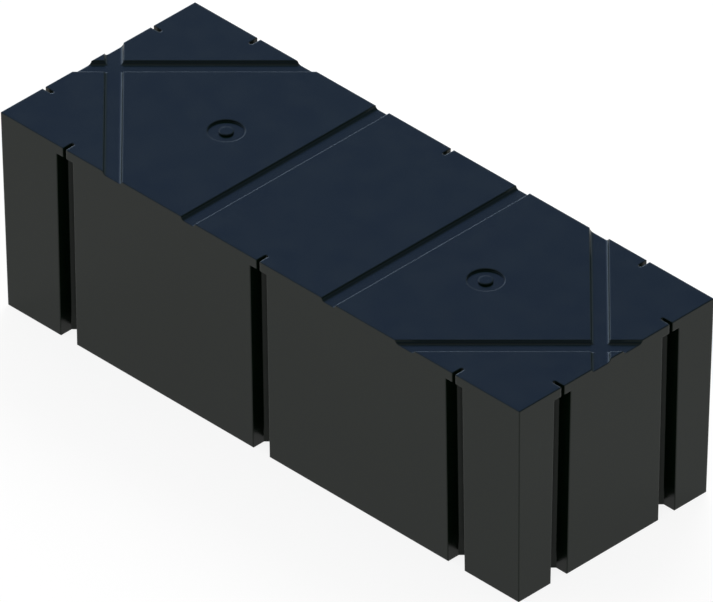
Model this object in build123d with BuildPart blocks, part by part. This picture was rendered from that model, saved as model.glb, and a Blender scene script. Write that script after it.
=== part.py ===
import os
from math import cos, radians, tan

from build123d import *

# Rectangular dock float: a hollow rotationally moulded polyethylene block that goes under a dock frame.
# X runs along its length, Z points up, and the origin is the centre of the bottom face.

# Block, measured at its top face, which is the larger one
length = 1219.2
width = 457.2
height = 393.7
draft_angle = 1.0
wall = 3.8
edge_round = 1.2

# Shallow grooves across the top face
groove_width = 31.75
groove_depth = 6.35
cross_groove_spacing = 330.2
diagonal_crossing_inset = 38.1
diagonal_angle = 45.0

# Bolting points: an open slot through the top lip, over a channel that is open at the bottom
lip_thickness = 19.05
slot_width = 8.0
slot_depth = 22.2
channel_width = 38.1
channel_depth = 34.9
channel_corner_cut = 9.5
side_bolt_pitch = 457.2
end_bolt_pitch = 254.0

# Fill ports: a round recess, and a plug pressed into a hole in its floor
port_spacing = 609.6
port_diameter = 63.5
port_depth = 4.0
plug_head_diameter = 25.4
plug_head_chamfer = 1.2
plug_stem_diameter = 19.0
plug_fit_gap = 0.15
plug_catch = 0.8
plug_tip_diameter = 15.0
plug_tip_length = 6.0

# How far a cut runs past the surface that it opens
run_out = 20.0

slope = tan(radians(draft_angle))
port_floor = height - port_depth


def bolt_planes(level):
    # One plane for each bolting point, with its origin on the sloping side and its Y axis pointing outwards
    come_in = (height - level) * slope
    planes = []
    for side in (-1, 1):
        for x in (-side_bolt_pitch, 0, side_bolt_pitch):
            planes.append(Plane((x, side * (width / 2 - come_in), level), x_dir=(side, 0, 0)))
        for y in (-end_bolt_pitch / 2, end_bolt_pitch / 2):
            planes.append(Plane((side * (length / 2 - come_in), y, level), x_dir=(0, -side, 0)))
    return planes


def groove_planes():
    # One upright plane for each groove, square to its run, with its origin on the top face
    planes = []
    for side in (-1, 1):
        planes.append(Plane((side * cross_groove_spacing / 2, 0, height), x_dir=(1, 0, 0), z_dir=(0, -1, 0)))
        for turn in (-diagonal_angle, diagonal_angle):
            crossing = Plane((side * (length / 2 - diagonal_crossing_inset), 0, height)).rotated((0, 0, turn))
            planes.append(Plane(crossing.origin, x_dir=crossing.y_dir, z_dir=crossing.x_dir))
    return planes


def moulded_form(skin):
    # The block with all that is moulded into it, taken in by a skin all over: none gives the outside
    # with its rounded rims, and the wall thickness gives the cavity
    with BuildPart() as form:
        side_skin = skin / cos(radians(draft_angle))
        with BuildSketch(Plane.XY.offset(skin)):
            Rectangle(length - 2 * side_skin, width - 2 * side_skin)
        extrude(amount=height - 2 * skin)
        draft(form.faces().filter_by(Axis.Z, reverse=True), Plane.XY.offset(height), -draft_angle)

        # Bolt channels, with backs parallel to the sloping sides
        for plane in bolt_planes(height - lip_thickness + skin):
            with BuildSketch(plane) as channel:
                Rectangle(channel_width, channel_depth, align=(Align.CENTER, Align.MAX))
                chamfer(channel.vertices().group_by(Axis.Y)[0], channel_corner_cut)
                Rectangle(channel_width, run_out, align=(Align.CENTER, Align.MIN))
                if skin:
                    offset(amount=skin, kind=Kind.INTERSECTION)
            extrude(amount=height, dir=Vector(0, 0, -1) - plane.y_dir * slope, mode=Mode.SUBTRACT)

        # Grooves, each with a flat floor between two quarter-round walls
        for plane in groove_planes():
            with BuildSketch(plane):
                SlotOverall(groove_width + 2 * skin, 2 * (groove_depth + skin))
            extrude(amount=length, both=True, mode=Mode.SUBTRACT)

        # Port recesses
        with BuildSketch(Plane.XY.offset(height)):
            with GridLocations(port_spacing, 0, 2, 1):
                Circle(port_diameter / 2 + skin)
        extrude(amount=-port_depth - skin, mode=Mode.SUBTRACT)

        # The outer rims are rounded: all those of the top, and those of the four sides below the groove ends.
        # The sides are the largest upright faces.
        if not skin:
            top = form.faces().group_by(Axis.Z)[-1]
            sides = form.faces().filter_by(Axis.Z, reverse=True).sort_by(SortBy.AREA)[-4:]
            below_grooves = sides.edges().filter_by(lambda edge: edge.center().Z < height - lip_thickness / 2)
            fillet(top.edges() + below_grooves, edge_round)

        # Bolt slots through the lip, with sharp rims as a cutter leaves them
        for plane in bolt_planes(height):
            with BuildSketch(plane):
                with Locations((0, slot_width / 2 - slot_depth)):
                    Circle(slot_width / 2 + skin)
                    Rectangle(slot_width + 2 * skin, slot_depth + run_out, align=(Align.CENTER, Align.MIN))
            extrude(amount=-lip_thickness - run_out, mode=Mode.SUBTRACT)
    return form.part


with BuildPart() as float_shell:
    add(moulded_form(0))
    add(moulded_form(wall), mode=Mode.SUBTRACT)

    # Plug holes through the port floors
    with BuildSketch(Plane.XY.offset(port_floor)):
        with GridLocations(port_spacing, 0, 2, 1):
            Circle(plug_stem_diameter / 2 + plug_fit_gap)
    extrude(amount=-wall - run_out, mode=Mode.SUBTRACT)
float_shell.part.label = "float_shell"


# Each plug is turned: a head level with the top face, a stem through the port floor, and a catch under it
plug_radii = (plug_head_diameter / 2, plug_stem_diameter / 2, plug_stem_diameter / 2 + plug_catch)
plug_shoulder = port_floor - wall - plug_fit_gap


def fill_plug(name, x):
    head, stem, catch = plug_radii
    with BuildPart() as plug:
        with BuildSketch(Plane.XZ) as profile:
            with BuildLine():
                Polyline(
                    (x, height),
                    (x + head, height),
                    (x + head, port_floor),
                    (x + stem, port_floor),
                    (x + stem, plug_shoulder),
                    (x + catch, plug_shoulder),
                    (x + plug_tip_diameter / 2, plug_shoulder - plug_tip_length),
                    (x, plug_shoulder - plug_tip_length),
                    close=True,
                )
            make_face()
            chamfer(profile.vertices().group_by(Axis.Y)[-1].sort_by(Axis.X)[-1], plug_head_chamfer)
        revolve(axis=Axis((x, 0, 0), (0, 0, 1)))
    plug.part.label = name
    return plug.part


os.makedirs("parts", exist_ok=True)
export_step(float_shell.part, "parts/float_shell.step")
for name, x in (("fill_plug_left", -port_spacing / 2), ("fill_plug_right", port_spacing / 2)):
    export_step(fill_plug(name, x), f"parts/{name}.step")
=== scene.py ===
import math
import bpy
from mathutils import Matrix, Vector


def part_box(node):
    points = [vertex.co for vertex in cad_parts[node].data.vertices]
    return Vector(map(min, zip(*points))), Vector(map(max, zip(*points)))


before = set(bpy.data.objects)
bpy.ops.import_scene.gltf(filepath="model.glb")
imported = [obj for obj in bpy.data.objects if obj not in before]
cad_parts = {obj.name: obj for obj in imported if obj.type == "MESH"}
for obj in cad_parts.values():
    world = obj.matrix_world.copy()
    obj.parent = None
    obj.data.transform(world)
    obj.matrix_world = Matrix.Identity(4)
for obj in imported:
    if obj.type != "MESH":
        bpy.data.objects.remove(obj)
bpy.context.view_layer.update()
scene = bpy.context.scene
print("frame loaded:", ", ".join(sorted(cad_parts)))

mm = 0.001


# A hex colour as an artist picks it, turned into the linear colour that a shader wants
def toLinear(hexColour):
    channels = [int(hexColour[i:i + 2], 16) / 255 for i in (1, 3, 5)]
    linear = [c / 12.92 if c <= 0.04045 else ((c + 0.055) / 1.055) ** 2.4 for c in channels]
    return (*linear, 1)


# Adds one node: settings are its properties, and each input is a value or the socket that feeds it
def addNode(tree, kind, inputs=None, **settings):
    node = tree.nodes.new(kind)
    for name, value in settings.items():
        setattr(node, name, value)
    for key, value in (inputs or {}).items():
        if isinstance(value, bpy.types.NodeSocket):
            tree.links.new(value, node.inputs[key])
        else:
            node.inputs[key].default_value = value
    return node


def newMaterial(name):
    material = bpy.data.materials.new(name)
    material.use_nodes = True
    material.node_tree.nodes.clear()
    return material


# Noise scale that gives a pattern of that size in mm, on coordinates in metres
def scaleFor(sizeMm):
    return 1 / (sizeMm * mm)


# Float shell: black polyethylene, rotationally moulded.
# The eye sees a near-black skin that takes its tone from what it mirrors: softly, with a faint orange
# peel and slow waves, a sheen that is a little uneven, and edges that catch a thin line of light.
shellLook = {
    "darkHex": "#041006",
    "paleHex": "#061409",
    "roughness": (0.2, 0.25),
    "sheenSpan": (0.35, 0.65),      # the stretch of the sheen pattern that covers the roughness range
    "specular": 0.17,
    "ior": 1.51,
    "edgeMm": 2.4,                  # every edge is shaded as if rounded this much
    "edgeSamples": 6,
    "patterns": {                   # size in mm, and how much finer detail the noise has
        "clouds": (90.0, 4.0),      # in the pigment
        "sheen": (45.0, 3.0),       # where the powder melted a little smoother or rougher
        "waves": (160.0, 1.0),      # slow ones in the wall, from cooling
        "peel": (6.0, 2.0),         # orange peel, about 2 mm on the real skin, drawn coarser to show
    },
    "dragMm": (5.0, 5.0, 90.0),     # faint drag marks down the sides, from leaving the mould
    "dragDetail": 1.0,
    "heightsMm": {"waves": 0.2, "peel": 0.035, "drag": 0.012},
}


def rotomouldedPolyethylene(look):
    material = newMaterial("rotomouldedBlackPolyethylene")
    tree = material.node_tree
    here = addNode(tree, "ShaderNodeTexCoord").outputs["Object"]
    patterns = {}
    for name, (sizeMm, detail) in look["patterns"].items():
        pattern = {"Vector": here, "Scale": scaleFor(sizeMm), "Detail": detail}
        patterns[name] = addNode(tree, "ShaderNodeTexNoise", pattern).outputs["Fac"]

    # The drag marks have a size of their own along each axis
    dragScales = [scaleFor(sizeMm) for sizeMm in look["dragMm"]]
    drawn = addNode(tree, "ShaderNodeVectorMath", {0: here, 1: dragScales}, operation="MULTIPLY")
    drag = {"Vector": drawn.outputs[0], "Scale": 1.0, "Detail": look["dragDetail"]}
    patterns["drag"] = addNode(tree, "ShaderNodeTexNoise", drag).outputs["Fac"]

    softEdge = addNode(
        tree, "ShaderNodeBevel", {"Radius": look["edgeMm"] * mm}, samples=look["edgeSamples"],
    )
    normal = softEdge.outputs[0]
    for name, heightMm in look["heightsMm"].items():
        relief = {"Height": patterns[name], "Distance": heightMm * mm, "Normal": normal}
        normal = addNode(tree, "ShaderNodeBump", relief).outputs[0]

    tint = addNode(
        tree, "ShaderNodeMix",
        {
            "Factor": patterns["clouds"],
            "A": toLinear(look["darkHex"]),
            "B": toLinear(look["paleHex"]),
        },
        data_type="RGBA",
    )
    sheen = addNode(
        tree, "ShaderNodeMapRange",
        {
            "Value": patterns["sheen"],
            "From Min": look["sheenSpan"][0],
            "From Max": look["sheenSpan"][1],
            "To Min": look["roughness"][0],
            "To Max": look["roughness"][1],
        },
    )
    shader = addNode(
        tree, "ShaderNodeBsdfPrincipled",
        {
            "Base Color": tint.outputs["Result"],
            "Roughness": sheen.outputs[0],
            "IOR": look["ior"],
            "Specular IOR Level": look["specular"],
            "Normal": normal,
        },
    )
    addNode(tree, "ShaderNodeOutputMaterial", {"Surface": shader.outputs[0]})
    return material


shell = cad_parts["float_shell"]
shell.data.materials[0] = rotomouldedPolyethylene(shellLook)
print("shell finished")


# Fill plugs: black polyethylene, injection moulded in a turned tool.
# The eye sees a smoother, tighter skin than the shell's, with faint rings round the middle.
plugLook = {
    "baseHex": "#051207",
    "roughness": 0.2,
    "specular": 0.17,
    "ior": 1.51,
    "edgeMm": 1.5,
    "edgeSamples": 6,
    "ringMm": 1.6,          # tool marks, finer on the real plug, drawn coarser to show at all
    "ringHeightMm": 0.006,
}


def injectionMouldedPolyethylene(look, centre):
    material = newMaterial("injectionMouldedPolyethylene")
    tree = material.node_tree
    here = addNode(tree, "ShaderNodeTexCoord").outputs["Object"]
    fromAxis = addNode(tree, "ShaderNodeVectorMath", {0: here, 1: centre}, operation="SUBTRACT")
    ringAtScaleOne = math.pi / 10       # how far apart a wave texture draws its rings at a scale of 1
    rings = addNode(
        tree, "ShaderNodeTexWave",
        {"Vector": fromAxis.outputs[0], "Scale": ringAtScaleOne * scaleFor(look["ringMm"])},
        wave_type="RINGS", rings_direction="Z",
    )
    softEdge = addNode(
        tree, "ShaderNodeBevel", {"Radius": look["edgeMm"] * mm}, samples=look["edgeSamples"],
    )
    relief = addNode(
        tree, "ShaderNodeBump",
        {
            "Height": rings.outputs["Fac"],
            "Distance": look["ringHeightMm"] * mm,
            "Normal": softEdge.outputs[0],
        },
    )
    shader = addNode(
        tree, "ShaderNodeBsdfPrincipled",
        {
            "Base Color": toLinear(look["baseHex"]),
            "Roughness": look["roughness"],
            "IOR": look["ior"],
            "Specular IOR Level": look["specular"],
            "Normal": relief.outputs[0],
        },
    )
    addNode(tree, "ShaderNodeOutputMaterial", {"Surface": shader.outputs[0]})
    return material


for name in ("fill_plug_left", "fill_plug_right"):
    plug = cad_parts[name]
    low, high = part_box(name)
    centre = [(a + b) / 2 for a, b in zip(low, high)]
    plug.data.materials[0] = injectionMouldedPolyethylene(plugLook, centre)
print("plugs finished")


# 1 for what the camera sees and for what gloss or glass shows of the studio, 0 for the light it throws
def seenDirectly(tree):
    path = addNode(tree, "ShaderNodeLightPath")
    seen = path.outputs["Is Camera Ray"]
    for ray in ("Is Glossy Ray", "Is Transmission Ray"):
        either = addNode(tree, "ShaderNodeMath", {0: seen, 1: path.outputs[ray]}, operation="MAXIMUM")
        seen = either.outputs[0]
    return seen


# Floor: matt and pale. Where it is seen it is mostly an even white, and the rest of it shows the shadow.
floorLook = {
    "sizeMetres": 160.0,
    "sheetHex": "#fafafa",
    "whiteShare": 0.8,
    "whiteLevel": 1.08,
}


def makeFloor(look):
    half = look["sizeMetres"] / 2
    corners = [(-half, -half, 0), (half, -half, 0), (half, half, 0), (-half, half, 0)]
    mesh = bpy.data.meshes.new("floor")
    mesh.from_pydata(corners, [], [(0, 1, 2, 3)])
    floor = bpy.data.objects.new("floor", mesh)
    scene.collection.objects.link(floor)
    material = newMaterial("paleStudioFloor")
    tree = material.node_tree
    matt = addNode(tree, "ShaderNodeBsdfDiffuse", {"Color": toLinear(look["sheetHex"])})
    white = addNode(tree, "ShaderNodeEmission", {"Strength": look["whiteLevel"]})
    share = addNode(
        tree, "ShaderNodeMath", {0: seenDirectly(tree), 1: look["whiteShare"]}, operation="MULTIPLY",
    )
    surface = addNode(
        tree, "ShaderNodeMixShader", {0: share.outputs[0], 1: matt.outputs[0], 2: white.outputs[0]},
    )
    addNode(tree, "ShaderNodeOutputMaterial", {"Surface": surface.outputs[0]})
    mesh.materials.append(material)


# Sky: what the black skin mirrors above the floor. Going up, it is white at the horizon, then a bright
# band, a deep blue one that gives the top face its tone, and paler overhead. It is brighter on one side,
# with a short bright strip low down, and so one wall of each groove is light and the other dark.
# Its colours are linear values and not hex, because some are brighter than white.
skyLook = {
    "bands": (                      # elevation in degrees, and the colour there
        (15.0, (1.17, 1.48, 1.9, 1)),
        (34.0, (0.36, 0.52, 1.19, 1)),
        (45.0, (0.36, 0.52, 1.19, 1)),
        (68.0, (0.9, 0.95, 1.25, 1)),
    ),
    "hazeHeights": (0.03, 0.05),    # white up to the first, gone at the second: sines of elevation
    "white": (1.0, 1.0, 1.0, 1.0),
    "brightSide": (-0.966, -0.259, 0.0),
    "brightShare": 1.2,             # how fast it brightens towards that side, from 1 at 60 degrees off
    "darkestLevel": 0.42,           # on the side across from it
    "stripSide": (-0.82, 0.574, 0.0),
    "stripEdge": 0.94,              # cosine of the angle from its middle at which the strip ends
    "stripShare": 2.2,
    "stripUpTo": 14.0,              # elevation in degrees
    "stripFullBelow": 0.6,          # share of that height up to which it has its full light
    "fillColour": (0.8, 0.8, 0.8, 1),
    "fillLevel": 0.7,               # even light on all that isn't gloss
}


def makeSky(look):
    world = bpy.data.worlds.new("studioSky")
    scene.world = world
    world.use_nodes = True
    tree = world.node_tree
    tree.nodes.clear()
    direction = addNode(tree, "ShaderNodeTexCoord").outputs["Generated"]
    height = addNode(tree, "ShaderNodeSeparateXYZ", {0: direction}).outputs["Z"]

    ramp = addNode(tree, "ShaderNodeValToRGB", {0: height})
    stops = ramp.color_ramp.elements
    while len(stops) < len(look["bands"]):
        stops.new(1.0)
    for stop, (elevation, colour) in zip(stops, look["bands"]):
        stop.position = math.sin(math.radians(elevation))
        stop.color = colour

    # Brightness round the compass
    side = addNode(
        tree, "ShaderNodeVectorMath", {0: direction, 1: look["brightSide"]}, operation="DOT_PRODUCT",
    )
    sloped = addNode(
        tree, "ShaderNodeMath",
        {0: side.outputs["Value"], 1: look["brightShare"], 2: 1.0 - look["brightShare"] / 2},
        operation="MULTIPLY_ADD",
    )
    level = addNode(
        tree, "ShaderNodeMath", {0: sloped.outputs[0], 1: look["darkestLevel"]}, operation="MAXIMUM",
    )

    # The low strip, which fades out sideways and upwards
    behind = addNode(
        tree, "ShaderNodeVectorMath", {0: direction, 1: look["stripSide"]}, operation="DOT_PRODUCT",
    )
    across = addNode(
        tree, "ShaderNodeMapRange",
        {
            "Value": behind.outputs["Value"],
            "From Min": look["stripEdge"],
            "From Max": 1.0,
            "To Min": 0.0,
            "To Max": look["stripShare"],
        },
    )
    stripTop = math.sin(math.radians(look["stripUpTo"]))
    low = addNode(
        tree, "ShaderNodeMapRange",
        {
            "Value": height,
            "From Min": stripTop,
            "From Max": stripTop * look["stripFullBelow"],
            "To Min": 0.0,
            "To Max": 1.0,
        },
    )
    lit = addNode(
        tree, "ShaderNodeMath",
        {0: across.outputs[0], 1: low.outputs[0], 2: level.outputs[0]}, operation="MULTIPLY_ADD",
    )
    sky = addNode(tree, "ShaderNodeBackground", {"Color": ramp.outputs[0], "Strength": lit.outputs[0]})

    # White haze at the horizon, where the floor ends
    haze = addNode(tree, "ShaderNodeBackground", {"Color": look["white"], "Strength": 1.0})
    clear = addNode(
        tree, "ShaderNodeMapRange",
        {"Value": height, "From Min": look["hazeHeights"][0], "From Max": look["hazeHeights"][1]},
    )
    shown = addNode(
        tree, "ShaderNodeMixShader", {0: clear.outputs[0], 1: haze.outputs[0], 2: sky.outputs[0]},
    )

    fill = addNode(
        tree, "ShaderNodeBackground", {"Color": look["fillColour"], "Strength": look["fillLevel"]},
    )
    surface = addNode(
        tree, "ShaderNodeMixShader", {0: seenDirectly(tree), 1: fill.outputs[0], 2: shown.outputs[0]},
    )
    addNode(tree, "ShaderNodeOutputWorld", {"Surface": surface.outputs[0]})


# Key lamp: a soft round light, high up behind the block. It isn't mirrored, and lights the matt part only.
lampLook = {
    "spot": (-1.5, 2.5, 4.0),
    "aim": (0.0, 0.0, 0.2),
    "size": 2.5,
    "watts": 85.0,
}


def makeKeyLamp(look):
    light = bpy.data.lights.new("keyLamp", "AREA")
    light.shape = "DISK"
    light.size = look["size"]
    light.energy = look["watts"]
    lamp = bpy.data.objects.new("keyLamp", light)
    scene.collection.objects.link(lamp)
    lamp.location = look["spot"]
    towards = Vector(look["aim"]) - Vector(look["spot"])
    lamp.rotation_euler = towards.to_track_quat("-Z", "Y").to_euler()
    lamp.visible_camera = False
    lamp.visible_glossy = False


makeFloor(floorLook)
makeSky(skyLook)
makeKeyLamp(lampLook)
print("studio lit")


# Camera: a long lens at the isometric angle, fitted to the corners of the block in the picture
cameraLook = {
    "azimuth": 45.0,
    "elevation": 35.264,
    "distance": 46.0,
    "lens": 1397.76,
    "sensor": 36.0,
    "target": (0.05447, -0.05225, 0.25131),
    "clip": (1.0, 400.0),
}


def makeCamera(look):
    turn = math.radians(look["azimuth"])
    rise = math.radians(look["elevation"])
    back = Vector((math.sin(turn) * math.cos(rise), -math.cos(turn) * math.cos(rise), math.sin(rise)))
    lens = bpy.data.cameras.new("camera")
    lens.sensor_width = look["sensor"]
    lens.lens = look["lens"]
    lens.clip_start, lens.clip_end = look["clip"]
    camera = bpy.data.objects.new("camera", lens)
    scene.collection.objects.link(camera)
    camera.location = Vector(look["target"]) + back * look["distance"]
    camera.rotation_euler = (-back).to_track_quat("-Z", "Y").to_euler()
    scene.camera = camera


makeCamera(cameraLook)
scene.view_settings.view_transform = "Standard"
print("camera set")
